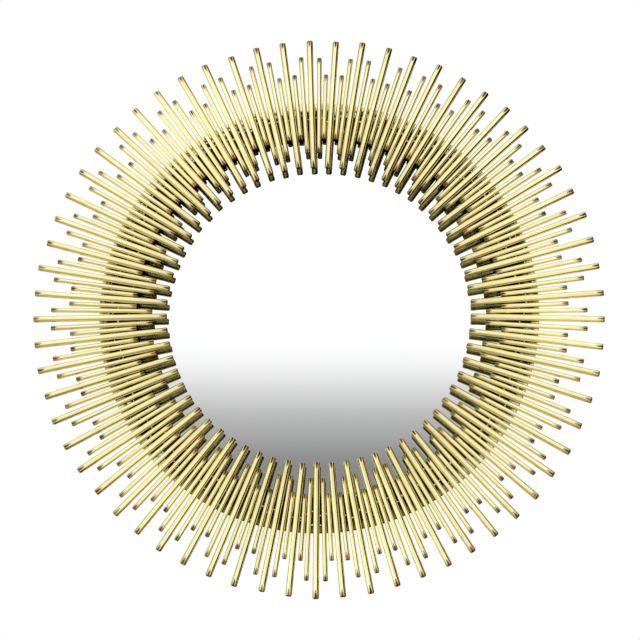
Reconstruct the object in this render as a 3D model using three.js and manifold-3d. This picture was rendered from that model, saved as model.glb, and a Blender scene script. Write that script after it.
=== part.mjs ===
// Round wall mirror with a sunburst frame of straight metal tubes in three lengths.
// Millimetres, +Z up. The mirror faces -Y and the wall is the plane Y = 0.
// The origin is the middle of the hanging cleat's rear face.
import * as THREE from 'three';
import { mergeVertices } from 'three/addons/utils/BufferGeometryUtils.js';
import Module from 'manifold-3d';

const wasm = await Module();
wasm.setup();

// ---- driving dimensions ----
const GAP = 0.3;                 // clearance between pieces that bear on each other
const HANG = 225;                // the mirror's centre is this far below the origin

const GROUPS = 65;               // one long tube, one medium and one short in each group
const SLOTS = 3 * GROUPS;        // 195 tubes at an even pitch
const FIRST_DEG = 3.46;          // the first long tube, clockwise from the top as seen from the front
const TUBES = {
  long: { dia: 10.6, r0: 243, r1: 457.2 },
  medium: { dia: 8.0, r0: 267, r1: 430 },
  short: { dia: 7.8, r0: 292.5, r1: 400.5 },
};
const SIDES = 8;                 // facets round a tube
const PATTERN_START = 3;         // the group where the alternating order begins and closes with one slip
const TOUCH = 0.06;              // the least space left between neighbouring tubes
// the frame is set out by hand: a slow drift round the circle (lobes, mm at the tips, phase in degrees) ...
const DRIFT = [[3, 2.8, -23], [4, 1.7, 108], [5, 0.9, 174]];
const DRIFT_R = 457.2;
const JIG = 1.5;                 // ... and each tube a little off its place, mm at the tips
const TRIM = { long: 1.9, medium: 1.6, short: 1.6 };  // uneven tube ends, mm

const RING = { r0: 296, r1: 353, thick: 12.5, steps: 65 };
const GLASS = { r: 306, thick: 4, steps: 52 };
const BOARD = { r: 336, rim: 9.5, pocketR: 309, steps: 52 };
const CLEAT = { width: 260, height: 45, thick: 12 };
const SPACER = { width: 260, height: 25, drop: 2 * HANG };
const SCREWS = { count: 6, ringR: 322.5, firstDeg: 30, shank: 1.9, bite: 7, headR: 4, headH: 2.4, hole: 2.5, sides: 8 };

// ---- depths, from the wall forwards ----
const boardBack = -CLEAT.thick - GAP;
const boardFront = boardBack - BOARD.rim;
const glassFront = boardFront;
const glassBack = glassFront + GLASS.thick;
const pocketFloor = glassBack + GAP;
const ringBack = boardFront - GAP;
const ringFront = ringBack - RING.thick;

// ---- helpers ----
const rad = (deg) => (deg * Math.PI) / 180;

// a repeatable value from -1 to 1 for tube i
const wobble = (i, s) => {
  const v = Math.sin(i * 12.9898 + s * 78.233) * 43758.5453;
  return 2 * (v - Math.floor(v)) - 1;
};

function solid(geometry) {
  const g = geometry.clone();
  for (const name of Object.keys(g.attributes)) if (name !== 'position') g.deleteAttribute(name);
  const m = mergeVertices(g, 1e-4);
  return new wasm.Manifold(new wasm.Mesh({
    numProp: 3,
    vertProperties: new Float32Array(m.attributes.position.array),
    triVerts: new Uint32Array(m.index.array),
  }));
}

function fromSolid(body) {
  const m = body.getMesh();
  const g = new THREE.BufferGeometry();
  const xyz = new Float32Array(m.numVert * 3);
  for (let v = 0; v < m.numVert; v++) for (let c = 0; c < 3; c++) xyz[3 * v + c] = m.vertProperties[m.numProp * v + c];
  g.setAttribute('position', new THREE.BufferAttribute(xyz, 3));
  g.setIndex(new THREE.BufferAttribute(new Uint32Array(m.triVerts), 1));
  g.computeVertexNormals();
  return g;
}

// a turned piece about the Y axis; the profile is [radius, y] with the outer side running towards +Y
const turned = (profile, steps) => new THREE.LatheGeometry(profile.map(([r, y]) => new THREE.Vector2(r, y)), steps);

// ---- where each tube lies ----
function layOut() {
  const rods = [];
  for (let k = 0; k < GROUPS; k++) {
    const even = ((k - PATTERN_START + GROUPS) % GROUPS) % 2 === 0;
    rods.push('long', ...(even ? ['short', 'medium'] : ['medium', 'short']));
  }
  const out = rods.map((kind, n) => {
    const turn = (2 * Math.PI * n) / SLOTS;
    let off = JIG * wobble(n, 1);
    for (const [lobes, size, phase] of DRIFT) off += size * Math.cos(lobes * turn + rad(phase));
    const t = TUBES[kind];
    return {
      kind,
      angle: rad(FIRST_DEG) + turn + off / DRIFT_R,
      radius: t.dia / 2,
      r0: t.r0 + 0.6 * TRIM[kind] * wobble(n, 2),
      r1: t.r1 + TRIM[kind] * wobble(n, 3),
    };
  });
  // neighbours are eased apart until none passes through the next
  for (let pass = 0; pass < 80; pass++) {
    for (let n = 0; n < SLOTS; n++) {
      const a = out[n];
      const b = out[(n + 1) % SLOTS];
      const need = (a.radius + b.radius + TOUCH) / Math.max(a.r0, b.r0);
      const gap = b.angle - a.angle + (n === SLOTS - 1 ? 2 * Math.PI : 0);
      if (gap < need) {
        a.angle -= (need - gap) / 2;
        b.angle += (need - gap) / 2;
      }
    }
  }
  return out;
}

// a straight tube along the ray at its angle, one flat towards the ring and lying exactly in the ring's face
function tube(rod) {
  const corner = rod.radius / Math.cos(Math.PI / SIDES);
  const section = new THREE.Shape();
  for (let i = 0; i < SIDES; i++) {
    const a = (2 * Math.PI * (i + 0.5)) / SIDES;
    section[i === 0 ? 'moveTo' : 'lineTo'](corner * Math.sin(a), corner * Math.cos(a));
  }
  section.closePath();
  const g = new THREE.ExtrudeGeometry(section, { depth: rod.r1 - rod.r0, bevelEnabled: false, steps: 1 });
  g.translate(0, ringFront - rod.radius, rod.r0);
  g.rotateY(rod.angle);
  const at = g.attributes.position;
  for (let v = 0; v < at.count; v++) if (Math.abs(at.getY(v) - ringFront) < 1e-3) at.setY(v, ringFront);
  return g;
}

const screwAngles = Array.from({ length: SCREWS.count }, (_, i) => rad(SCREWS.firstDeg + (i * 360) / SCREWS.count));
const onCircle = (r, a) => [r * Math.sin(a), r * Math.cos(a)];

// a round hole along Y from y0 to y1 at a screw's place
function hole(angle, y0, y1) {
  const g = new THREE.CylinderGeometry(SCREWS.hole, SCREWS.hole, y1 - y0, 8, 1);
  const [x, z] = onCircle(SCREWS.ringR, angle);
  g.translate(x, (y0 + y1) / 2, z);
  return solid(g);
}

// ---- the sunburst frame: ring and tubes brazed into one ----
function frameGeometry() {
  let body = solid(turned(
    [[RING.r0, ringFront], [RING.r1, ringFront], [RING.r1, ringBack], [RING.r0, ringBack], [RING.r0, ringFront]],
    RING.steps,
  ));
  for (const a of screwAngles) body = body.subtract(hole(a, ringBack - SCREWS.bite - 0.6, ringBack + 1));
  for (const rod of layOut()) body = body.add(solid(tube(rod)));
  return fromSolid(body);
}

// ---- the backing board: a disc with a shallow pocket for the glass ----
function boardGeometry() {
  let body = solid(turned(
    [[0, pocketFloor], [BOARD.pocketR, pocketFloor], [BOARD.pocketR, boardFront], [BOARD.r, boardFront],
      [BOARD.r, boardBack], [0, boardBack]],
    BOARD.steps,
  ));
  for (const a of screwAngles) body = body.subtract(hole(a, boardFront - 1, boardBack + 1));
  return fromSolid(body);
}

function glassGeometry() {
  return turned([[0, glassFront], [GLASS.r, glassFront], [GLASS.r, glassBack], [0, glassBack]], GLASS.steps);
}

// a pan-head screw, head towards the wall
function screwGeometry() {
  const under = boardBack + GAP / 2;
  const tip = ringBack - SCREWS.bite;
  return turned(
    [[0, tip], [SCREWS.shank, tip], [SCREWS.shank, under], [SCREWS.headR, under],
      [SCREWS.headR, under + 0.45 * SCREWS.headH], [0.72 * SCREWS.headR, under + SCREWS.headH], [0, under + SCREWS.headH]],
    SCREWS.sides,
  );
}

// a batten along X with its section drawn in Y and Z
function batten(width, section) {
  const shape = new THREE.Shape(section.map(([y, z]) => new THREE.Vector2(y, z)));
  const g = new THREE.ExtrudeGeometry(shape, { depth: width, bevelEnabled: false, steps: 1 });
  g.translate(0, 0, -width / 2);
  // drawn x, y, z become Y, Z, X
  g.applyMatrix4(new THREE.Matrix4().set(0, 0, 1, 0, 1, 0, 0, 0, 0, 1, 0, 0, 0, 0, 0, 1));
  return g;
}

function cleatGeometry() {
  const h = CLEAT.height / 2;
  const t = CLEAT.thick;
  // the lower edge slopes up from the wall side, to hook over a matching strip on the wall
  return batten(CLEAT.width, [[0, -h], [0, h], [-t, h], [-t, -h + t]]);
}

function spacerGeometry() {
  const h = SPACER.height / 2;
  return batten(SPACER.width, [[0, -h], [0, h], [-CLEAT.thick, h], [-CLEAT.thick, -h]]);
}

// ---- materials ----
const champagneGold = new THREE.MeshStandardMaterial({ color: 0xe6d79a, roughness: 0.28, metalness: 1 });
const silvered = new THREE.MeshStandardMaterial({ color: 0xf2f4f2, roughness: 0.02, metalness: 1 });
const fibreboard = new THREE.MeshStandardMaterial({ color: 0x8a6a48, roughness: 0.85, metalness: 0 });
const plywood = new THREE.MeshStandardMaterial({ color: 0xc9a673, roughness: 0.7, metalness: 0 });
const zinc = new THREE.MeshStandardMaterial({ color: 0xb9bcc0, roughness: 0.38, metalness: 1 });

function piece(name, geometry, material) {
  const mesh = new THREE.Mesh(geometry, material.clone());
  mesh.name = name;
  return mesh;
}

// ---- the whole mirror ----
const mirror = new THREE.Group();
const disc = new THREE.Group();         // what turns about the mirror's own centre
disc.position.set(0, 0, -HANG);
mirror.add(disc);

disc.add(piece('sunburst_frame', frameGeometry(), champagneGold));
disc.add(piece('mirror_glass', glassGeometry(), silvered));
disc.add(piece('backing_board', boardGeometry(), fibreboard));
screwAngles.forEach((a, i) => {
  const screw = piece(`board_screw_${i + 1}`, screwGeometry(), zinc);
  const [x, z] = onCircle(SCREWS.ringR, a);
  screw.position.set(x, 0, z);
  disc.add(screw);
});

mirror.add(piece('hanging_cleat', cleatGeometry(), plywood));
const spacer = piece('spacer_batten', spacerGeometry(), plywood);
spacer.position.set(0, 0, -SPACER.drop);
mirror.add(spacer);

export default mirror;
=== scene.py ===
import math

import bpy
import numpy as np
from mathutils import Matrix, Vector


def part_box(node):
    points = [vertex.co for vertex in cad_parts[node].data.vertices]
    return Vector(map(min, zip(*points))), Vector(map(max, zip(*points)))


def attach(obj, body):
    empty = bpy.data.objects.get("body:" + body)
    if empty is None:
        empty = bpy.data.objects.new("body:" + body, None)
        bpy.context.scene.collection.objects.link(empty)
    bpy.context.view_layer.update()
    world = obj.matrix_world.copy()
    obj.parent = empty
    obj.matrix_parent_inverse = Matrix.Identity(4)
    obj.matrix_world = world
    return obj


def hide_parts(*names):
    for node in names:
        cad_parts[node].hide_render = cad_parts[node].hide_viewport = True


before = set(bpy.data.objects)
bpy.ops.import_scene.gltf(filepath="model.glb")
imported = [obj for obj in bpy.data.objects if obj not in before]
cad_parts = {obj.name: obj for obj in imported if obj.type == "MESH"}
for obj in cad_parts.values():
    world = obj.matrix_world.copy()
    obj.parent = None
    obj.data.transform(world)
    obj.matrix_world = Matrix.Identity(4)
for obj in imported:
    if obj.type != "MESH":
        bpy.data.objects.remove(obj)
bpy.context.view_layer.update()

MM = 0.001

# ---------------------------------------------------------------- the frame's own places
glass_lo, glass_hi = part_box("mirror_glass")
burst_lo, burst_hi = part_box("sunburst_frame")
board_lo, board_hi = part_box("backing_board")
cleat_lo, cleat_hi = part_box("hanging_cleat")
spacer_lo, spacer_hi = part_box("spacer_batten")

CX = (glass_lo[0] + glass_hi[0]) / 2          # the mirror's axis
CZ = (glass_lo[2] + glass_hi[2]) / 2

# ---------------------------------------------------------------- sizes, as in the construction (mm)
GROUPS = 65
SLOTS = 3 * GROUPS
FIRST_DEG = 3.46
TUBES = {
    "long": dict(dia=10.6, r0=243.0, r1=457.2),
    "medium": dict(dia=8.0, r0=267.0, r1=430.0),
    "short": dict(dia=7.8, r0=292.5, r1=400.5),
}
PATTERN_START = 3
TOUCH = 0.06
DRIFT = [(3, 2.8, -23.0), (4, 1.7, 108.0), (5, 0.9, 174.0)]
DRIFT_R = 457.2
JIG = 1.5
TRIM = dict(long=1.9, medium=1.6, short=1.6)
RING = dict(r0=296.0, r1=353.0, thick=12.5)
WALL = 0.8                                   # tube wall

RING_BACK = burst_hi[1] / MM                 # the ring's rear plane
RING_FRONT = RING_BACK - RING["thick"]


def wobble(i, s):
    v = math.sin(i * 12.9898 + s * 78.233) * 43758.5453
    return 2 * (v - math.floor(v)) - 1


def lay_out():
    kinds = []
    for k in range(GROUPS):
        even = ((k - PATTERN_START + GROUPS) % GROUPS) % 2 == 0
        kinds += ["long"] + (["short", "medium"] if even else ["medium", "short"])
    rods = []
    for n, kind in enumerate(kinds):
        turn = 2 * math.pi * n / SLOTS
        off = JIG * wobble(n, 1)
        for lobes, size, phase in DRIFT:
            off += size * math.cos(lobes * turn + math.radians(phase))
        t = TUBES[kind]
        rods.append(dict(
            n=n, kind=kind,
            angle=math.radians(FIRST_DEG) + turn + off / DRIFT_R,
            radius=t["dia"] / 2,
            r0=t["r0"] + 0.6 * TRIM[kind] * wobble(n, 2),
            r1=t["r1"] + TRIM[kind] * wobble(n, 3),
        ))
    for _ in range(80):
        for n in range(SLOTS):
            a, b = rods[n], rods[(n + 1) % SLOTS]
            need = (a["radius"] + b["radius"] + TOUCH) / max(a["r0"], b["r0"])
            gap = b["angle"] - a["angle"] + (2 * math.pi if n == SLOTS - 1 else 0)
            if gap < need:
                a["angle"] -= (need - gap) / 2
                b["angle"] += (need - gap) / 2
    return rods


rods = lay_out()


# ---------------------------------------------------------------- mesh helpers
def new_object(name, verts, faces, smooth=True, attrs=None):
    """verts in mm as (N, 3), about the mirror's axis at z = 0; faces as index lists."""
    v = np.asarray(verts, dtype=np.float64) * MM
    v[:, 0] += CX
    v[:, 2] += CZ
    me = bpy.data.meshes.new(name)
    me.from_pydata(v.tolist(), [], faces)
    me.validate()
    me.update()
    if smooth:
        me.polygons.foreach_set("use_smooth", [True] * len(me.polygons))
    for key, values in (attrs or {}).items():
        a = me.attributes.new(key, "FLOAT_VECTOR", "POINT")
        a.data.foreach_set("vector", np.asarray(values, dtype=np.float32).ravel())
    ob = bpy.data.objects.new(name, me)
    bpy.context.scene.collection.objects.link(ob)
    return ob


def sharpen(ob, degrees=35):
    ob.data.set_sharp_from_angle(angle=math.radians(degrees))
    return ob


def turned(name, profile, steps, closed=True, smooth=True):
    """A turned piece about the mirror's axis: profile of (radius, y) in mm, closed on itself."""
    verts, faces = [], []
    m = len(profile)
    idx = np.zeros((steps, m), dtype=int)
    for j, (r, y) in enumerate(profile):
        if r < 1e-9:
            verts.append((0.0, y, 0.0))
            idx[:, j] = len(verts) - 1
        else:
            for i in range(steps):
                a = 2 * math.pi * i / steps
                verts.append((r * math.sin(a), y, r * math.cos(a)))
                idx[i, j] = len(verts) - 1
    spans = m if closed else m - 1
    for i in range(steps):
        k = (i + 1) % steps
        for j in range(spans):
            l = (j + 1) % m
            quad = [idx[i, j], idx[i, l], idx[k, l], idx[k, j]]
            face = []
            for q in quad:
                if int(q) not in face:
                    face.append(int(q))
            if len(face) >= 3:
                faces.append(face)
    return new_object(name, verts, faces, smooth)


# ---------------------------------------------------------------- the tubes
def section_angles():
    front = [0, 3, 6, 9.5, 13.5, 18, 24, 31, 40, 51]
    rest = list(np.linspace(64, 180, 10))
    half = front + rest
    return np.radians(np.array([-a for a in half[::-1] if a not in (0, 180)] + half))


ANG = section_angles()
END_STOPS = [0.0, 0.35, 0.9, 1.7, 2.8, 4.2, 6.0, 8.0, 10.0, 12.0, 14.0]


def tube_mesh(rod, verts, faces, attr, end_shade, scorch_and_shade):
    R = rod["radius"]
    n = rod["n"]
    L = rod["r1"] - rod["r0"]
    crimp = [11.5 + 1.8 * wobble(n, 7), 12.0 + 1.8 * wobble(n, 8)]   # length of the crimp at the inner and outer end
    lean = [0.10 * wobble(n, 9), 0.10 * wobble(n, 10)]               # the groove is never quite in the middle
    deep = [0.62 + 0.10 * wobble(n, 11), 0.62 + 0.10 * wobble(n, 12)]
    bow = 0.16 * wobble(n, 13)
    sway = 0.16 * wobble(n, 14)
    ca, sa = math.cos(rod["angle"]), math.sin(rod["angle"])
    y_axis = RING_FRONT - R
    M = len(ANG)

    def ring_of(s, radius, end, d, groove=True):
        """One section at distance s along the tube; d is the distance from the end it belongs to."""
        u = radius * np.sin(ANG)
        v = radius * np.cos(ANG)
        if groove and d < crimp[end]:
            t = 1 - d / crimp[end]
            hw = (0.17 + 0.06 * t) * R
            dep = deep[end] * R * (0.28 * min(1.0, t / 0.10) + 0.72 * t)
            c = math.asin(max(-1, min(1, lean[end]))) * R
            front = np.clip(np.cos(ANG), 0, 1)
            x = np.abs(u - c) / hw
            fall = np.exp(-np.power(x, 2.2))
            v = v - dep * fall * np.power(front, 0.5) * (radius / R)
            # the metal gives a little each side of the groove
            u = u + np.sign(u - c) * 0.05 * R * t * np.exp(-np.power(x - 1.4, 2)) * front
        f = s / L
        bend_u = sway * math.sin(math.pi * f)
        bend_v = bow * math.sin(math.pi * f) * (1 if s > 0 else 0)
        u = u + bend_u
        v = v + max(-0.08, min(0.0, bend_v * 0.5))
        w = rod["r0"] + s
        # u runs clockwise (tangent), v to the front, w along the ray
        X = w * sa + u * ca
        Z = w * ca - u * sa
        Y = y_axis - v
        base = len(verts)
        # painted shade mask for the crimp groove, strongest where it faces the front
        groove_shade = np.zeros(M)
        if groove and d < crimp[end]:
            groove_shade = fall * np.power(front, 0.5) * min(1.0, 2.2 * t) * (0.75 + 0.25 * wobble(n, 15 + end))
        for i in range(M):
            verts.append((X[i], Y[i], Z[i]))
            attr.append((ANG[i] / (2 * math.pi) + 0.5, s * MM, n / SLOTS))
            # painted shade masks: crimp groove, cut edge, bore
            end_shade.append((groove_shade[i], max(0.0, 1 - d / 2.2), 0.0))
            # heat tint near the ends and over the ring, with painted shade at the tips, on the flanks over the ring and
            # on the inner ends over the glass
            scorch_and_shade.append((min(1.0, 1.5 * max(0.0, 1 - d / 15.0)), max(0.0, 1 - abs(w - 304) / 58), min(1.0, max(0.0, (300 - w) / 24))))
        return base

    def lip(d):
        return 1.0 - 0.20 * max(0.0, 1 - d / 2.6) ** 2

    bases = []
    bore = lambda first: [end_shade.__setitem__(i, (end_shade[i][0], 1.0, 1.0)) for i in range(first, first + M)]
    # inside of the inner end, outwards to the lip, along the outside, round the outer lip and in again
    inner_r = lambda d: (R - WALL) * lip(d) - 0.02
    depth_in = 9.0
    for d in (depth_in, 2.8, 0.5):
        bases.append(ring_of(d, inner_r(d), 0, d))
        bore(bases[-1])
    bases.append(ring_of(0.12, R * lip(0) - 0.62 * WALL, 0, 0.12))
    bases.append(ring_of(0.0, R * lip(0) - 0.34 * WALL, 0, 0.0))
    bases.append(ring_of(0.10, R * lip(0) - 0.10 * WALL, 0, 0.1))
    for d in END_STOPS[1:]:
        bases.append(ring_of(d, R * lip(d), 0, d))
    mid = 3
    for i in range(1, mid + 1):
        s = END_STOPS[-1] + (L - 2 * END_STOPS[-1]) * i / (mid + 1)
        bases.append(ring_of(s, R, 0, 99))
    for d in reversed(END_STOPS[1:]):
        bases.append(ring_of(L - d, R * lip(d), 1, d))
    bases.append(ring_of(L - 0.10, R * lip(0) - 0.10 * WALL, 1, 0.1))
    bases.append(ring_of(L, R * lip(0) - 0.34 * WALL, 1, 0.0))
    bases.append(ring_of(L - 0.12, R * lip(0) - 0.62 * WALL, 1, 0.12))
    for d in (0.5, 2.8, depth_in):
        bases.append(ring_of(L - d, inner_r(d), 1, d))
        bore(bases[-1])
    for a, b in zip(bases, bases[1:]):
        for i in range(M):
            j = (i + 1) % M
            faces.append((a + i, a + j, b + j, b + i))
    # the crushed wall that closes each bore
    for base, flip in ((bases[0], True), (bases[-1], False)):
        ring = np.array(verts[base:base + M])
        c = ring.mean(axis=0)
        verts.append(tuple(c))
        attr.append((0.5, 0.0, n / SLOTS))
        # the crushed wall takes the full painted shade
        end_shade.append((1.0, 1.0, 1.0))
        scorch_and_shade.append((1.0, 0.0, 0.0))
        k = len(verts) - 1
        for i in range(M):
            j = (i + 1) % M
            faces.append((k, base + j, base + i) if flip else (k, base + i, base + j))


def tubes(kind):
    verts, faces, attr, end_shade, scorch_and_shade = [], [], [], [], []
    for rod in rods:
        if rod["kind"] == kind:
            tube_mesh(rod, verts, faces, attr, end_shade, scorch_and_shade)
    ob = new_object(f"{kind}_tubes", verts, faces, True, {"tube": attr, "end_shade": end_shade, "scorch_and_shade": scorch_and_shade})
    sharpen(ob, 48)
    return ob


# ---------------------------------------------------------------- the ring and its brazing
def ring_band():
    r0, r1, yf, yb = RING["r0"], RING["r1"], RING_FRONT, RING_BACK
    e = 0.9
    prof = []
    for cx, cy, a0 in ((r0 + e, yf + e, 180), (r1 - e, yf + e, 270), (r1 - e, yb - e, 0), (r0 + e, yb - e, 90)):
        for k in range(4):
            a = math.radians(a0 + 30 * k)
            prof.append((cx + e * math.cos(a), cy + e * math.sin(a)))
    return turned("ring_band", prof, 390)


def beads():
    """Blobs of braze between neighbouring tubes over the ring."""
    verts, faces, attr = [], [], []
    NU, NV = 10, 7
    for n in range(SLOTS):
        a, b = rods[n], rods[(n + 1) % SLOTS]
        gap_ang = b["angle"] - a["angle"] + (2 * math.pi if n == SLOTS - 1 else 0)
        places = [(327 + 8 * wobble(n, 21), 0.75 + 0.3 * wobble(n, 26))]
        if wobble(n, 22) > 0.45:
            places.append((342 + 8 * wobble(n, 23), 0.6))
        if wobble(n, 24) > 0.5:
            places.append((306 + 7 * wobble(n, 25), 0.6))
        if wobble(n, 27) > 0.45:
            places = places[1:]
        for q, (r, size) in enumerate(places):
            # half the clear width between the two tubes at this radius
            clear = gap_ang * r - a["radius"] - b["radius"]
            mid_ang = a["angle"] + (a["radius"] + clear / 2) / r
            half_w = max(0.5, clear / 2 + 1.0)
            half_l = (1.2 + 0.7 * (wobble(n, 31 + q) + 1)) * (0.6 + 0.5 * size)
            half_h = 2.6 * size + 0.5 * wobble(n, 41 + q)
            cy = RING_FRONT - 1.3 - 1.4 * size
            ca, sa = math.cos(mid_ang), math.sin(mid_ang)
            base = len(verts)
            for j in range(NV + 1):
                th = math.pi * j / NV
                for i in range(NU if 0 < j < NV else 1):
                    ph = 2 * math.pi * i / NU
                    k = 1 + 0.16 * wobble(n * 7 + i * 3 + j, 51 + q)
                    u = half_w * math.sin(th) * math.cos(ph) * k
                    w = half_l * math.sin(th) * math.sin(ph) * k
                    v = half_h * math.cos(th)
                    X = (r + w) * sa + u * ca
                    Z = (r + w) * ca - u * sa
                    verts.append((X, cy - v, Z))
                    attr.append((ph / 6.3, (r + w) * MM, n / SLOTS))
            def vid(j, i):
                if j == 0:
                    return base
                if j == NV:
                    return base + 1 + (NV - 1) * NU
                return base + 1 + (j - 1) * NU + i % NU
            for j in range(NV):
                for i in range(NU):
                    f = []
                    for x in (vid(j, i), vid(j, i + 1), vid(j + 1, i + 1), vid(j + 1, i)):
                        if x not in f:
                            f.append(x)
                    faces.append(f)
    return new_object("braze_beads", verts, faces, True, {"tube": attr})


# ---------------------------------------------------------------- glass, board, battens, screws
def glass_disc():
    yf, yb = glass_lo[1] / MM, glass_hi[1] / MM
    R = (glass_hi[0] - glass_lo[0]) / 2 / MM
    prof = [(0, yf), (R - 1.0, yf), (R - 0.3, yf + 0.3), (R, yf + 1.0), (R, yb - 1.0), (R - 0.3, yb - 0.3), (R - 1.0, yb), (0, yb)]
    ob = turned("silvered_glass", prof, 256, closed=False)
    return sharpen(ob, 20)


def board_disc():
    yf, yb = board_lo[1] / MM, board_hi[1] / MM
    R = (board_hi[0] - board_lo[0]) / 2 / MM
    floor = glass_hi[1] / MM + 0.3
    pocket = 309.0
    prof = [(0, floor), (pocket, floor), (pocket, yf), (R - 0.6, yf), (R, yf + 0.6), (R, yb - 1.0), (R - 0.3, yb - 0.3),
            (R - 1.0, yb), (0, yb)]
    ob = turned("round_backing_board", prof, 256, closed=False)
    return sharpen(ob, 30)


def chamfered_batten(name, lo, hi, section, e=0.7):
    """A batten along X from its (y, z) section, in mm in the row frame, with eased edges."""
    pts = [np.array(p, dtype=float) for p in section]
    m = len(pts)
    cut = []
    for i, p in enumerate(pts):
        a, b = pts[i - 1], pts[(i + 1) % m]
        cut.append(p + (a - p) / np.linalg.norm(a - p) * e)
        cut.append(p + (b - p) / np.linalg.norm(b - p) * e)
    c = np.mean(pts, axis=0)
    x0, x1 = lo[0] / MM, hi[0] / MM
    rings = []
    for x, k in ((x0, e), (x0 + e, 0), (x1 - e, 0), (x1, e)):
        ring = []
        for p in cut:
            d = c - p
            ring.append((x, *(p + d / np.linalg.norm(d) * k * 1.2)))
        rings.append(ring)
    verts = [v for r in rings for v in r]
    n = len(cut)
    faces = []
    for r in range(3):
        for i in range(n):
            j = (i + 1) % n
            faces.append((r * n + i, r * n + j, (r + 1) * n + j, (r + 1) * n + i))
    faces.append(tuple(range(n))[::-1])
    faces.append(tuple(range(3 * n, 4 * n)))
    me = bpy.data.meshes.new(name)
    me.from_pydata([tuple(np.array(v) * MM) for v in verts], [], faces)
    me.validate()
    ob = bpy.data.objects.new(name, me)
    bpy.context.scene.collection.objects.link(ob)
    import bmesh
    bm = bmesh.new()
    bm.from_mesh(me)
    bmesh.ops.recalc_face_normals(bm, faces=bm.faces)
    bm.to_mesh(me)
    bm.free()
    return ob


def screw(name, node):
    """Pan-head screw with a cross recess, head towards the wall."""
    lo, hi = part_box(node)
    cx, cz = (lo[0] + hi[0]) / 2 / MM, (lo[2] + hi[2]) / 2 / MM
    top, tip = hi[1] / MM, lo[1] / MM
    head_r, head_h, shank = 4.0, 2.4, 1.9
    under = top - head_h
    steps = 48
    turn = math.radians(45 * (1 + wobble(int(name[-1]), 61)))
    # head radii and heights from the middle of the recess outwards
    radii = [0.25, 0.7, 1.1, 1.5, 1.9, 2.2, 2.6, 3.1, 3.6, 3.9, 4.0, 4.0]
    verts, faces = [], []
    rings = []
    for r in radii:
        dome = under + head_h * (1 - 0.5 * (r / head_r) ** 3.2) if r < 4.0 else None
        ring = []
        for i in range(steps):
            a = 2 * math.pi * i / steps
            y = dome
            if dome is None:
                y = under + (0.5 * head_h if len(rings) == 10 else 0.0)
            else:
                b = a + turn
                cross = min(abs(math.sin(b)), abs(math.cos(b))) * r
                inside = max(0.0, min(1.0, (0.62 - cross) / 0.25)) * max(0.0, min(1.0, (2.35 - r) / 0.35))
                y = dome - 1.35 * inside * (1 - 0.15 * r)
            verts.append((cx + r * math.sin(a), y, cz + r * math.cos(a)))
            ring.append(len(verts) - 1)
        rings.append(ring)
    # the thread: a helical ridge on the shank
    turns_n = int((under - tip) / 0.7)
    zs = np.linspace(under, tip + 1.5, turns_n * 4 + 1)
    for z in zs:
        ring = []
        for i in range(steps):
            a = 2 * math.pi * i / steps
            ph = ((under - z) / 0.7 + i / steps) % 1.0
            r = shank - 0.32 * abs(2 * ph - 1)
            verts.append((cx + r * math.sin(a), z, cz + r * math.cos(a)))
            ring.append(len(verts) - 1)
        rings.append(ring)
    for r, y in ((1.1, tip + 0.8), (0.5, tip)):
        ring = []
        for i in range(steps):
            a = 2 * math.pi * i / steps
            verts.append((cx + r * math.sin(a), y, cz + r * math.cos(a)))
            ring.append(len(verts) - 1)
        rings.append(ring)
    for a, b in zip(rings, rings[1:]):
        for i in range(steps):
            j = (i + 1) % steps
            faces.append((a[i], a[j], b[j], b[i]))
    faces.append(tuple(rings[0][::-1]))
    faces.append(tuple(rings[-1]))
    me = bpy.data.meshes.new(name)
    me.from_pydata([tuple(np.array(v) * MM) for v in verts], [], faces)
    me.validate()
    import bmesh
    bm = bmesh.new()
    bm.from_mesh(me)
    bmesh.ops.recalc_face_normals(bm, faces=bm.faces)
    bm.to_mesh(me)
    bm.free()
    me.polygons.foreach_set("use_smooth", [True] * len(me.polygons))
    ob = bpy.data.objects.new(name, me)
    bpy.context.scene.collection.objects.link(ob)
    return sharpen(ob, 40)


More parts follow.
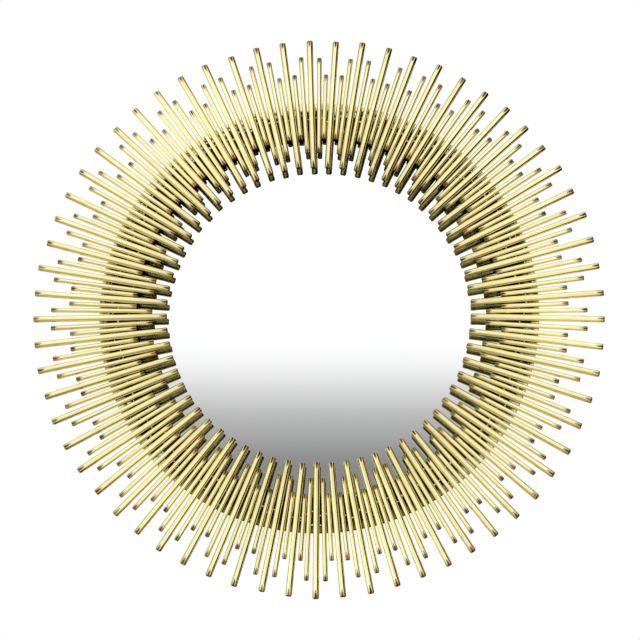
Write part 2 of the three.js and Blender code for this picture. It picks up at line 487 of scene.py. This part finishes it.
# ---------------------------------------------------------------- materials
class Nodes:
    """A little shorthand for node trees."""

    def __init__(self, tree):
        self.tree = tree
        self.x = -1600

    def add(self, kind, **values):
        n = self.tree.nodes.new(kind)
        n.location = (self.x, 0)
        self.x += 40
        for k, v in values.items():
            if k in ("operation", "data_type", "blend_type", "noise_dimensions", "feature", "attribute_name",
                     "wave_type", "bands_direction", "rings_direction", "interpolation_type", "clamp", "vector_type", "distance", "wave_profile"):
                setattr(n, k, v)
            else:
                n.inputs[k].default_value = v
        return n

    def link(self, a, b):
        self.tree.links.new(a, b)
        return b

    def math(self, op, a, b=None, c=None, clamp=False):
        n = self.tree.nodes.new("ShaderNodeMath")
        n.operation = op
        n.use_clamp = clamp
        for i, v in enumerate((a, b, c)):
            if v is None:
                continue
            if isinstance(v, (int, float)):
                n.inputs[i].default_value = v
            else:
                self.tree.links.new(v, n.inputs[i])
        return n.outputs[0]

    def ramp(self, value, stops, mode="LINEAR"):
        n = self.tree.nodes.new("ShaderNodeValToRGB")
        n.color_ramp.interpolation = mode
        e = n.color_ramp.elements
        while len(e) > 1:
            e.remove(e[-1])
        e[0].position, e[0].color = stops[0][0], (*stops[0][1], 1)
        for p, c in stops[1:]:
            x = e.new(p)
            x.color = (*c, 1)
        self.tree.links.new(value, n.inputs[0])
        return n.outputs[0]

    def span(self, value, a, b, c, d, smooth=True):
        n = self.tree.nodes.new("ShaderNodeMapRange")
        n.interpolation_type = "SMOOTHSTEP" if smooth else "LINEAR"
        for k, v in zip(("From Min", "From Max", "To Min", "To Max"), (a, b, c, d)):
            n.inputs[k].default_value = v
        self.tree.links.new(value, n.inputs["Value"])
        return n.outputs["Result"]

    def mix(self, fac, a, b, blend="MIX"):
        n = self.tree.nodes.new("ShaderNodeMix")
        n.data_type = "RGBA"
        n.blend_type = blend
        ins = [s for s in n.inputs if s.enabled]
        for s, v in zip((n.inputs[0], n.inputs[6], n.inputs[7]), (fac, a, b)):
            if isinstance(v, (int, float)):
                s.default_value = v
            elif isinstance(v, tuple):
                s.default_value = (*v, 1) if len(v) == 3 else v
            else:
                self.tree.links.new(v, s)
        return n.outputs[2]


def material(name, metallic, rough, **fixed):
    m = bpy.data.materials.new(name)
    m.use_nodes = True
    t = m.node_tree
    bsdf = t.nodes["Principled BSDF"]
    bsdf.inputs["Metallic"].default_value = metallic
    bsdf.inputs["Roughness"].default_value = rough
    for k, v in fixed.items():
        bsdf.inputs[k.replace("_", " ")].default_value = v
    return m, Nodes(t), bsdf


def object_coords(N, scale=(1, 1, 1)):
    tc = N.tree.nodes.new("ShaderNodeTexCoord")
    mp = N.tree.nodes.new("ShaderNodeMapping")
    mp.inputs["Scale"].default_value = scale
    N.tree.links.new(tc.outputs["Object"], mp.inputs["Vector"])
    return mp.outputs["Vector"]


def noise(N, vec, scale, detail=3.0, rough=0.55, dist=0.0):
    n = N.tree.nodes.new("ShaderNodeTexNoise")
    n.inputs["Scale"].default_value = scale
    n.inputs["Detail"].default_value = detail
    n.inputs["Roughness"].default_value = rough
    n.inputs["Distortion"].default_value = dist
    if vec is not None:
        N.tree.links.new(vec, n.inputs["Vector"])
    return n.outputs["Fac"]


def bump(N, bsdf, height, strength, distance):
    b = N.tree.nodes.new("ShaderNodeBump")
    b.inputs["Strength"].default_value = strength
    b.inputs["Distance"].default_value = distance
    N.tree.links.new(height, b.inputs["Height"])
    N.tree.links.new(b.outputs["Normal"], bsdf.inputs["Normal"])


def gold_tube_material(kind, pale, tip_shade):
    m, N, bsdf = material(f"champagne_gold_{kind}_tube", 1.0, 0.2)
    at = N.tree.nodes.new("ShaderNodeAttribute")
    at.attribute_name = "tube"
    sep = N.tree.nodes.new("ShaderNodeSeparateXYZ")
    N.link(at.outputs["Vector"], sep.inputs[0])
    around, along, which = sep.outputs
    # each tube took the plating a little differently
    wn = N.tree.nodes.new("ShaderNodeTexWhiteNoise")
    wn.noise_dimensions = "1D"
    N.link(N.math("MULTIPLY", which, 971.0), wn.inputs["W"])
    each = wn.outputs["Value"]
    # drawn lines: fine across the tube, long down it
    comb = N.tree.nodes.new("ShaderNodeCombineXYZ")
    N.link(N.math("MULTIPLY", around, 46.0), comb.inputs[0])
    N.link(N.math("MULTIPLY", along, 26.0), comb.inputs[1])
    N.link(N.math("MULTIPLY", which, 613.0), comb.inputs[2])
    lines = noise(N, comb.outputs[0], 1.0, 3.0, 0.6)
    comb2 = N.tree.nodes.new("ShaderNodeCombineXYZ")
    N.link(N.math("MULTIPLY", around, 7.0), comb2.inputs[0])
    N.link(N.math("MULTIPLY", along, 34.0), comb2.inputs[1])
    N.link(N.math("MULTIPLY", which, 377.0), comb2.inputs[2])
    clouds = noise(N, comb2.outputs[0], 1.0, 4.0, 0.6, 0.4)
    base = N.ramp(clouds, [(0.28, (0.84, 0.765, 0.355)), (0.45, (0.89, 0.84, 0.44)), (0.6, (0.92, 0.89, 0.51)), (0.78, (0.91, 0.85, 0.44))])
    tint = N.ramp(each, [(0.0, (0.93, 0.90, 0.80)), (0.5, (1.0, 0.99, 0.97)), (1.0, (1.0, 0.94, 0.88))])
    col = N.mix(1.0, base, tint, "MULTIPLY")
    dark = N.span(lines, 0.30, 0.44, 0.82, 1.0)
    dk = N.tree.nodes.new("ShaderNodeCombineColor")
    for i in range(3):
        N.link(dark, dk.inputs[i])
    col = N.mix(1.0, col, dk.outputs[0], "MULTIPLY")
    # painted highlight: the tube colour is washed paler towards cream, most on the short tubes
    col = N.mix(pale, col, (0.955, 0.925, 0.70))
    # the ends took a brown heat tint, a few of them copper, and so did the stretch over the ring
    en = N.tree.nodes.new("ShaderNodeTexWhiteNoise")
    en.noise_dimensions = "1D"
    N.link(N.math("MULTIPLY", which, 1733.0), en.inputs["W"])
    hot = N.span(en.outputs["Value"], 0.25, 0.97, 0.22, 0.85)
    # painted shade in the crimp groove, round the cut edge and inside the bore
    so = N.tree.nodes.new("ShaderNodeAttribute")
    so.attribute_name = "end_shade"
    ss = N.tree.nodes.new("ShaderNodeSeparateXYZ")
    N.link(so.outputs["Vector"], ss.inputs[0])
    groove, rim, bore = ss.outputs
    near_end = N.tree.nodes.new("ShaderNodeAttribute")
    near_end.attribute_name = "scorch_and_shade"
    hs = N.tree.nodes.new("ShaderNodeSeparateXYZ")
    N.link(near_end.outputs["Vector"], hs.inputs[0])
    col = N.mix(N.math("MULTIPLY", hot, hs.outputs[0]), col, N.ramp(en.outputs["Value"], [(0.2, (0.50, 0.42, 0.17)), (0.75, (0.55, 0.38, 0.15)), (0.95, (0.66, 0.39, 0.19))]))
    col = N.mix(N.math("MULTIPLY", N.span(hs.outputs[1], 0.0, 0.7, 0.0, 0.30), N.span(clouds, 0.40, 0.62, 0.45, 1.0)), col, (0.74, 0.57, 0.24))
    # painted shade: the inner ends over the glass are darkened brown, and their sides and backs, away from the front,
    # nearly black
    col = N.mix(N.math("MULTIPLY", hs.outputs[2], 0.28), col, (0.56, 0.43, 0.15))
    off_front = N.math("ABSOLUTE", N.math("SUBTRACT", around, 0.5))
    behind = N.span(off_front, 0.23, 0.36, 0.0, 0.78)
    col = N.mix(N.math("MULTIPLY", behind, hs.outputs[2]), col, (0.16, 0.115, 0.035))
    # painted shade: the flanks over the ring are darkened dark brown in streaks, where the neighbouring tubes shade
    # them
    flank = N.math("MULTIPLY", N.span(off_front, 0.135, 0.21, 0.0, 0.80), N.span(hs.outputs[1], 0.05, 0.35, 0.0, 1.0))
    flank = N.math("MULTIPLY", flank, N.span(clouds, 0.45, 0.58, 0.0, 1.0))
    col = N.mix(flank, col, (0.17, 0.095, 0.02))
    # painted shade: the last few millimetres of each end are darkened, more strongly on the medium and short tubes
    tip = N.math("MULTIPLY", N.span(hs.outputs[0], 0.62, 1.0, 0.0, tip_shade), N.span(en.outputs["Value"], 0.30, 0.55, 1.0, 0.35))
    col = N.mix(tip, col, (0.13, 0.085, 0.03))
    # painted shade: the crimp groove, the cut edge and the bore are darkened nearly black
    col = N.mix(N.span(groove, 0.15, 0.85, 0.0, 0.90), col, (0.10, 0.065, 0.022))
    col = N.mix(N.math("MULTIPLY", rim, 0.65), col, (0.20, 0.13, 0.05))
    col = N.mix(bore, col, (0.035, 0.022, 0.010))
    N.link(col, bsdf.inputs["Base Color"])
    r = N.math("ADD", N.span(lines, 0.3, 0.7, 0.05, 0.12), N.math("MULTIPLY", clouds, 0.05))
    r = N.math("ADD", r, N.math("MULTIPLY", N.math("ADD", groove, bore), 0.22))
    N.link(r, bsdf.inputs["Roughness"])
    h = N.math("ADD", N.math("MULTIPLY", lines, 0.5), N.math("MULTIPLY", clouds, 0.9))
    bump(N, bsdf, h, 0.10, 0.00015)
    return m


def gold_ring_material():
    m, N, bsdf = material("champagne_gold_ring", 1.0, 0.35)
    bsdf.inputs["Specular Tint"].default_value = (0.20, 0.12, 0.04, 1)
    v = object_coords(N)
    a = noise(N, v, 38.0, 5.0, 0.6, 0.3)
    b = noise(N, v, 900.0, 2.0, 0.5)
    # painted shade: the band is painted near-black brown, where it lies in the shade between the tubes
    col = N.ramp(a, [(0.3, (0.014, 0.007, 0.002)), (0.5, (0.032, 0.019, 0.004)), (0.7, (0.075, 0.05, 0.012))])
    # the painted shade thins out towards the rim, where olive gold shows through
    tc = N.tree.nodes.new("ShaderNodeTexCoord")
    sp = N.tree.nodes.new("ShaderNodeSeparateXYZ")
    N.link(tc.outputs["Object"], sp.inputs[0])
    dx, dz = N.math("SUBTRACT", sp.outputs[0], CX), N.math("SUBTRACT", sp.outputs[2], CZ)
    rad = N.math("SQRT", N.math("ADD", N.math("MULTIPLY", dx, dx), N.math("MULTIPLY", dz, dz)))
    rad = N.math("ADD", rad, N.math("MULTIPLY", N.math("SUBTRACT", a, 0.5), 0.03))
    rim = N.span(rad, 0.337, 0.352, 0.0, 0.9)
    col = N.mix(rim, col, (0.23, 0.195, 0.045))
    # painted highlight: except at the bottom, the outer edge is painted a ragged pale cream with less roughness,
    # standing in for a reflection of the bright front
    patch = noise(N, v, 95.0, 3.0, 0.6, 0.2)
    ragged = N.math("ADD", rad, N.math("MULTIPLY", N.math("SUBTRACT", patch, 0.5), 0.07))
    above = N.span(N.math("DIVIDE", dz, rad), -0.92, -0.62, 0.0, 1.0)
    shine = N.math("MULTIPLY", above, N.span(ragged, 0.334, 0.346, 0.0, 0.95))
    col = N.mix(shine, col, (0.97, 0.92, 0.66))
    N.link(col, bsdf.inputs["Base Color"])
    rough = N.math("ADD", N.span(a, 0.3, 0.7, 0.30, 0.46), N.math("MULTIPLY", b, 0.1))
    N.link(N.math("SUBTRACT", rough, N.math("MULTIPLY", shine, 0.20)), bsdf.inputs["Roughness"])
    bump(N, bsdf, N.math("ADD", N.math("MULTIPLY", a, 1.0), N.math("MULTIPLY", b, 0.2)), 0.25, 0.0004)
    return m


def braze_material():
    m, N, bsdf = material("braze", 1.0, 0.3)
    v = object_coords(N)
    a = noise(N, v, 420.0, 4.0, 0.6, 0.5)
    col = N.ramp(a, [(0.3, (0.55, 0.45, 0.18)), (0.5, (0.84, 0.76, 0.42)), (0.72, (0.95, 0.90, 0.62))])
    N.link(col, bsdf.inputs["Base Color"])
    N.link(N.span(a, 0.3, 0.7, 0.18, 0.42), bsdf.inputs["Roughness"])
    bump(N, bsdf, a, 0.5, 0.0005)
    return m


def clear_face_material():
    """The front face of the glass: a faint surface shine over the silver behind."""
    m, N, bsdf = material("glass_front_face", 0.0, 0.01)
    t = m.node_tree
    v = object_coords(N)
    haze = noise(N, v, 30.0, 3.0, 0.5)
    clear = t.nodes.new("ShaderNodeBsdfTransparent")
    N.link(N.ramp(haze, [(0.3, (0.955, 0.985, 0.965)), (0.7, (0.965, 0.990, 0.972))]), clear.inputs["Color"])
    shine = t.nodes.new("ShaderNodeBsdfGlossy")
    N.link(N.span(haze, 0.4, 0.8, 0.004, 0.012), shine.inputs["Roughness"])
    fr = t.nodes.new("ShaderNodeFresnel")
    fr.inputs["IOR"].default_value = 1.5
    mixn = t.nodes.new("ShaderNodeMixShader")
    N.link(fr.outputs[0], mixn.inputs[0])
    N.link(clear.outputs[0], mixn.inputs[1])
    N.link(shine.outputs[0], mixn.inputs[2])
    N.link(mixn.outputs[0], t.nodes["Material Output"].inputs["Surface"])
    t.nodes.remove(bsdf)
    return m


def mirror_material():
    m, N, bsdf = material("silvered_glass", 1.0, 0.012)
    v = object_coords(N)
    a = noise(N, v, 6.0, 3.0, 0.5)
    b = noise(N, v, 55.0, 4.0, 0.6)
    col = N.ramp(a, [(0.3, (0.72, 0.80, 0.745)), (0.7, (0.732, 0.81, 0.757))])
    N.link(col, bsdf.inputs["Base Color"])
    N.link(N.span(b, 0.45, 0.75, 0.006, 0.022), bsdf.inputs["Roughness"])
    return m


def fibreboard_material():
    m, N, bsdf = material("fibreboard", 0.0, 0.8)
    v = object_coords(N)
    a = noise(N, v, 14.0, 4.0, 0.55)
    b = noise(N, v, 420.0, 3.0, 0.7)
    c = noise(N, v, 1500.0, 2.0, 0.6)
    col = N.ramp(N.math("ADD", N.math("MULTIPLY", a, 0.45), N.math("MULTIPLY", b, 0.55)),
                 [(0.32, (0.20, 0.125, 0.065)), (0.48, (0.31, 0.205, 0.115)), (0.62, (0.40, 0.28, 0.165)), (0.75, (0.50, 0.37, 0.23))])
    N.link(col, bsdf.inputs["Base Color"])
    N.link(N.span(b, 0.3, 0.7, 0.72, 0.9), bsdf.inputs["Roughness"])
    bump(N, bsdf, N.math("ADD", N.math("MULTIPLY", b, 0.6), N.math("MULTIPLY", c, 0.4)), 0.35, 0.0004)
    return m


def plywood_material():
    """Birch ply: long grain on the faces, stripes of alternate plies on the edges."""
    m, N, bsdf = material("birch_plywood", 0.0, 0.55)
    tc = N.tree.nodes.new("ShaderNodeTexCoord")
    sep = N.tree.nodes.new("ShaderNodeSeparateXYZ")
    N.link(tc.outputs["Object"], sep.inputs[0])
    x, y, z = sep.outputs
    comb = N.tree.nodes.new("ShaderNodeCombineXYZ")
    N.link(N.math("MULTIPLY", x, 6.0), comb.inputs[0])
    N.link(N.math("MULTIPLY", y, 30.0), comb.inputs[1])
    N.link(N.math("MULTIPLY", z, 110.0), comb.inputs[2])
    grain = noise(N, comb.outputs[0], 1.0, 5.0, 0.6, 0.8)
    face = N.ramp(grain, [(0.3, (0.50, 0.34, 0.18)), (0.5, (0.66, 0.49, 0.29)), (0.7, (0.74, 0.58, 0.37))])
    ply = N.math("FRACT", N.math("MULTIPLY", y, 1 / 0.0027))
    edge = N.ramp(ply, [(0.0, (0.20, 0.12, 0.06)), (0.07, (0.62, 0.45, 0.26)), (0.47, (0.66, 0.50, 0.30)), (0.5, (0.20, 0.12, 0.06)),
                        (0.57, (0.40, 0.26, 0.14)), (0.97, (0.44, 0.29, 0.16))])
    geo = N.tree.nodes.new("ShaderNodeNewGeometry")
    sn = N.tree.nodes.new("ShaderNodeSeparateXYZ")
    N.link(geo.outputs["True Normal"], sn.inputs[0])
    side = N.span(N.math("ABSOLUTE", sn.outputs[1]), 0.55, 0.85, 1.0, 0.0)
    N.link(N.mix(side, face, edge), bsdf.inputs["Base Color"])
    N.link(N.span(grain, 0.3, 0.7, 0.48, 0.68), bsdf.inputs["Roughness"])
    bump(N, bsdf, grain, 0.25, 0.0004)
    return m


def zinc_material():
    m, N, bsdf = material("zinc_plated_steel", 1.0, 0.3)
    v = object_coords(N)
    a = noise(N, v, 300.0, 4.0, 0.6)
    col = N.ramp(a, [(0.3, (0.52, 0.53, 0.52)), (0.5, (0.66, 0.67, 0.68)), (0.7, (0.74, 0.73, 0.68))])
    N.link(col, bsdf.inputs["Base Color"])
    N.link(N.span(a, 0.3, 0.7, 0.25, 0.42), bsdf.inputs["Roughness"])
    bump(N, bsdf, a, 0.15, 0.0002)
    return m


def paint(ob, mat):
    ob.data.materials.clear()
    ob.data.materials.append(mat)


# ---------------------------------------------------------------- build the pieces
# the medium and short tubes get more painted highlight (paler) and more painted shade at their tips
golds = [gold_tube_material("long", 0.06, 0.20), gold_tube_material("medium", 0.12, 0.62), gold_tube_material("short", 0.14, 0.75)]
gold_ring = gold_ring_material()
braze = braze_material()

burst_pieces = [tubes("long"), tubes("medium"), tubes("short")]
for ob, gold in zip(burst_pieces, golds):
    paint(ob, gold)
band = ring_band()
paint(band, gold_ring)
blobs = beads()
paint(blobs, braze)
for ob in burst_pieces + [band, blobs]:
    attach(ob, "root")
    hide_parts("sunburst_frame")

glass = glass_disc()
paint(glass, mirror_material())
glass.data.materials.append(clear_face_material())
for poly in glass.data.polygons:
    if poly.normal.y < -0.9 and abs(poly.center.y - glass_lo[1]) < 0.0002:
        poly.material_index = 1
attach(glass, "root")
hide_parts("mirror_glass")

board = board_disc()
paint(board, fibreboard_material())
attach(board, "root")
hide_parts("backing_board")

ply = plywood_material()
h0, h1 = cleat_lo[2] / MM, cleat_hi[2] / MM
t0, t1 = cleat_lo[1] / MM, cleat_hi[1] / MM
cleat = chamfered_batten("bevelled_cleat", cleat_lo, cleat_hi, [(t1, h0), (t1, h1), (t0, h1), (t0, h0 + (t1 - t0))])
h0, h1 = spacer_lo[2] / MM, spacer_hi[2] / MM
t0, t1 = spacer_lo[1] / MM, spacer_hi[1] / MM
spacer = chamfered_batten("lower_spacer", spacer_lo, spacer_hi, [(t1, h0), (t1, h1), (t0, h1), (t0, h0)])
for ob, node in ((cleat, "hanging_cleat"), (spacer, "spacer_batten")):
    paint(ob, ply)
    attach(ob, "root")
    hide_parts(node)

zinc = zinc_material()
for i in range(1, 7):
    s = screw(f"cross_screw_{i}", f"board_screw_{i}")
    paint(s, zinc)
    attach(s, "root")
    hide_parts(f"board_screw_{i}")


# ---------------------------------------------------------------- stage: floor, world and lights
def floor():
    me = bpy.data.meshes.new("floor")
    s, z = 14.0, CZ - 1.60
    me.from_pydata([(-s, -s, z), (s, -s, z), (s, s, z), (-s, s, z)], [], [(0, 1, 2, 3)])
    ob = bpy.data.objects.new("floor", me)
    bpy.context.scene.collection.objects.link(ob)
    m, N, bsdf = material("pale_floor", 0.0, 0.9)
    v = object_coords(N)
    a = noise(N, v, 3.0, 4.0, 0.5)
    N.link(N.ramp(a, [(0.3, (0.80, 0.80, 0.79)), (0.7, (0.86, 0.86, 0.85))]), bsdf.inputs["Base Color"])
    me.materials.append(m)
    ob.visible_glossy = False
    return ob


floor()

world = bpy.data.worlds.new("studio")
bpy.context.scene.world = world
world.use_nodes = True
W = Nodes(world.node_tree)
for n in list(world.node_tree.nodes):
    world.node_tree.nodes.remove(n)
out = W.tree.nodes.new("ShaderNodeOutputWorld")
tc = W.tree.nodes.new("ShaderNodeTexCoord")
sep = W.tree.nodes.new("ShaderNodeSeparateXYZ")
W.link(tc.outputs["Generated"], sep.inputs[0])
wx, wy, wz = sep.outputs
# a white room, with the dark end of the studio to the right and below: (towards, full within, gone beyond, strength, colour)
DIM = [
    ((-0.55, 0.05, -0.83), 18, 44, 0.40, (0.42, 0.36, 0.25)),
    ((0.12, -0.05, -0.95), 14, 38, 0.30, (0.40, 0.34, 0.20)),
    ((-0.88, 0.30, 0.38), 20, 46, 0.72, (0.30, 0.27, 0.17)),
    ((-0.35, 0.42, 0.84), 14, 38, 0.34, (0.44, 0.40, 0.28)),
    ((0.72, 0.26, 0.64), 22, 42, 0.90, (0.09, 0.085, 0.03)),
    ((0.76, -0.08, -0.56), 38, 54, 1.00, (0.014, 0.010, 0.002)),
    ((0.98, -0.04, -0.08), 46, 61, 1.00, (0.011, 0.008, 0.001)),
]
flat = W.tree.nodes.new("ShaderNodeRGB")
flat.outputs[0].default_value = (1.15, 1.16, 1.22, 1)
room = W.mix(W.span(wz, -0.12, -0.55, 0.0, 0.85), flat.outputs[0], (0.44, 0.385, 0.28))
for towards, full, gone, strength, colour in DIM:
    dot = W.tree.nodes.new("ShaderNodeVectorMath")
    dot.operation = "DOT_PRODUCT"
    dot.inputs[1].default_value = Vector(towards).normalized()
    W.link(tc.outputs["Generated"], dot.inputs[0])
    cap = W.span(dot.outputs["Value"], math.cos(math.radians(gone)), math.cos(math.radians(full)), 0.0, strength)
    room = W.mix(cap, room, colour)
# the pale card low in front, shading to grey towards its foot, which the glass shows
steps = [0.251, 0.275, 0.310, 0.352, 0.397, 0.434, 0.474, 0.533, 0.599, 0.665, 0.723, 0.807, 0.863, 0.913, 0.956, 0.99, 1.08]
card = W.ramp(W.span(wz, 0.1793, 0.2202, 0.0, 1.0, smooth=False),
              [(i / 16, (0.739 * g, 0.668 * g, 0.718 * g)) for i, g in enumerate(steps)])
tone = W.tree.nodes.new("ShaderNodeVectorMath")
tone.operation = "SCALE"
W.link(card, tone.inputs[0])
tone.inputs["Scale"].default_value = 1.875
wide = W.span(W.math("ABSOLUTE", W.math("ADD", wx, 0.047)), 0.075, 0.16, 1.0, 0.0)
tall = W.math("MULTIPLY", W.span(wz, 0.12, 0.17, 0.0, 1.0), W.span(wz, 0.29, 0.36, 1.0, 0.0))
front = W.span(wy, -0.2, -0.6, 0.0, 1.0)
room = W.mix(W.math("MULTIPLY", W.math("MULTIPLY", tall, wide), front), room, tone.outputs["Vector"])
lp = W.tree.nodes.new("ShaderNodeLightPath")
sky = W.mix(lp.outputs["Is Camera Ray"], room, (1.0, 1.0, 1.0))
bg = W.tree.nodes.new("ShaderNodeBackground")
W.link(sky, bg.inputs["Color"])
bg.inputs["Strength"].default_value = 1.0
W.link(bg.outputs[0], out.inputs["Surface"])


def area(name, where, at, size, power, colour=(1, 1, 1)):
    d = bpy.data.lights.new(name, "AREA")
    d.shape = "RECTANGLE"
    d.size, d.size_y = size
    d.energy = power
    d.color = colour
    ob = bpy.data.objects.new(name, d)
    ob.location = where
    ob.rotation_mode = "QUATERNION"
    ob.rotation_quaternion = (Vector(at) - Vector(where)).to_track_quat("-Z", "Y")
    bpy.context.scene.collection.objects.link(ob)
    return ob


MID = Vector((CX, burst_lo[1], CZ))
area("left_softbox", MID + Vector((-2.6, -1.2, -0.2)), MID, (1.6, 1.6), 4)
area("low_panel", MID + Vector((0.85, -1.5, -1.25)), MID + Vector((0.3, 0, 0)), (1.4, 1.7), 3.6, (1.0, 0.97, 0.9))

# ---------------------------------------------------------------- camera
D, EL, AZ = 4.9, math.radians(-13.06), math.radians(2.77)
F_PX = 4900 / 1.6
back = Vector((math.sin(AZ) * math.cos(EL), -math.cos(AZ) * math.cos(EL), math.sin(EL)))
target = Vector((CX + 0.00264, (RING_FRONT - 4.9) * MM, CZ - 0.01044))
cam_data = bpy.data.cameras.new("camera")
cam_data.sensor_width = 36.0
cam_data.lens = F_PX * 36.0 / 640.0
cam_data.clip_start, cam_data.clip_end = 0.1, 100.0
cam = bpy.data.objects.new("camera", cam_data)
cam.location = target + back * D
cam.rotation_mode = "QUATERNION"
cam.rotation_quaternion = (-back).to_track_quat("-Z", "Y")
bpy.context.scene.collection.objects.link(cam)
bpy.context.scene.camera = cam

bpy.context.scene.view_settings.view_transform = "Standard"
bpy.context.scene.view_settings.look = "None"
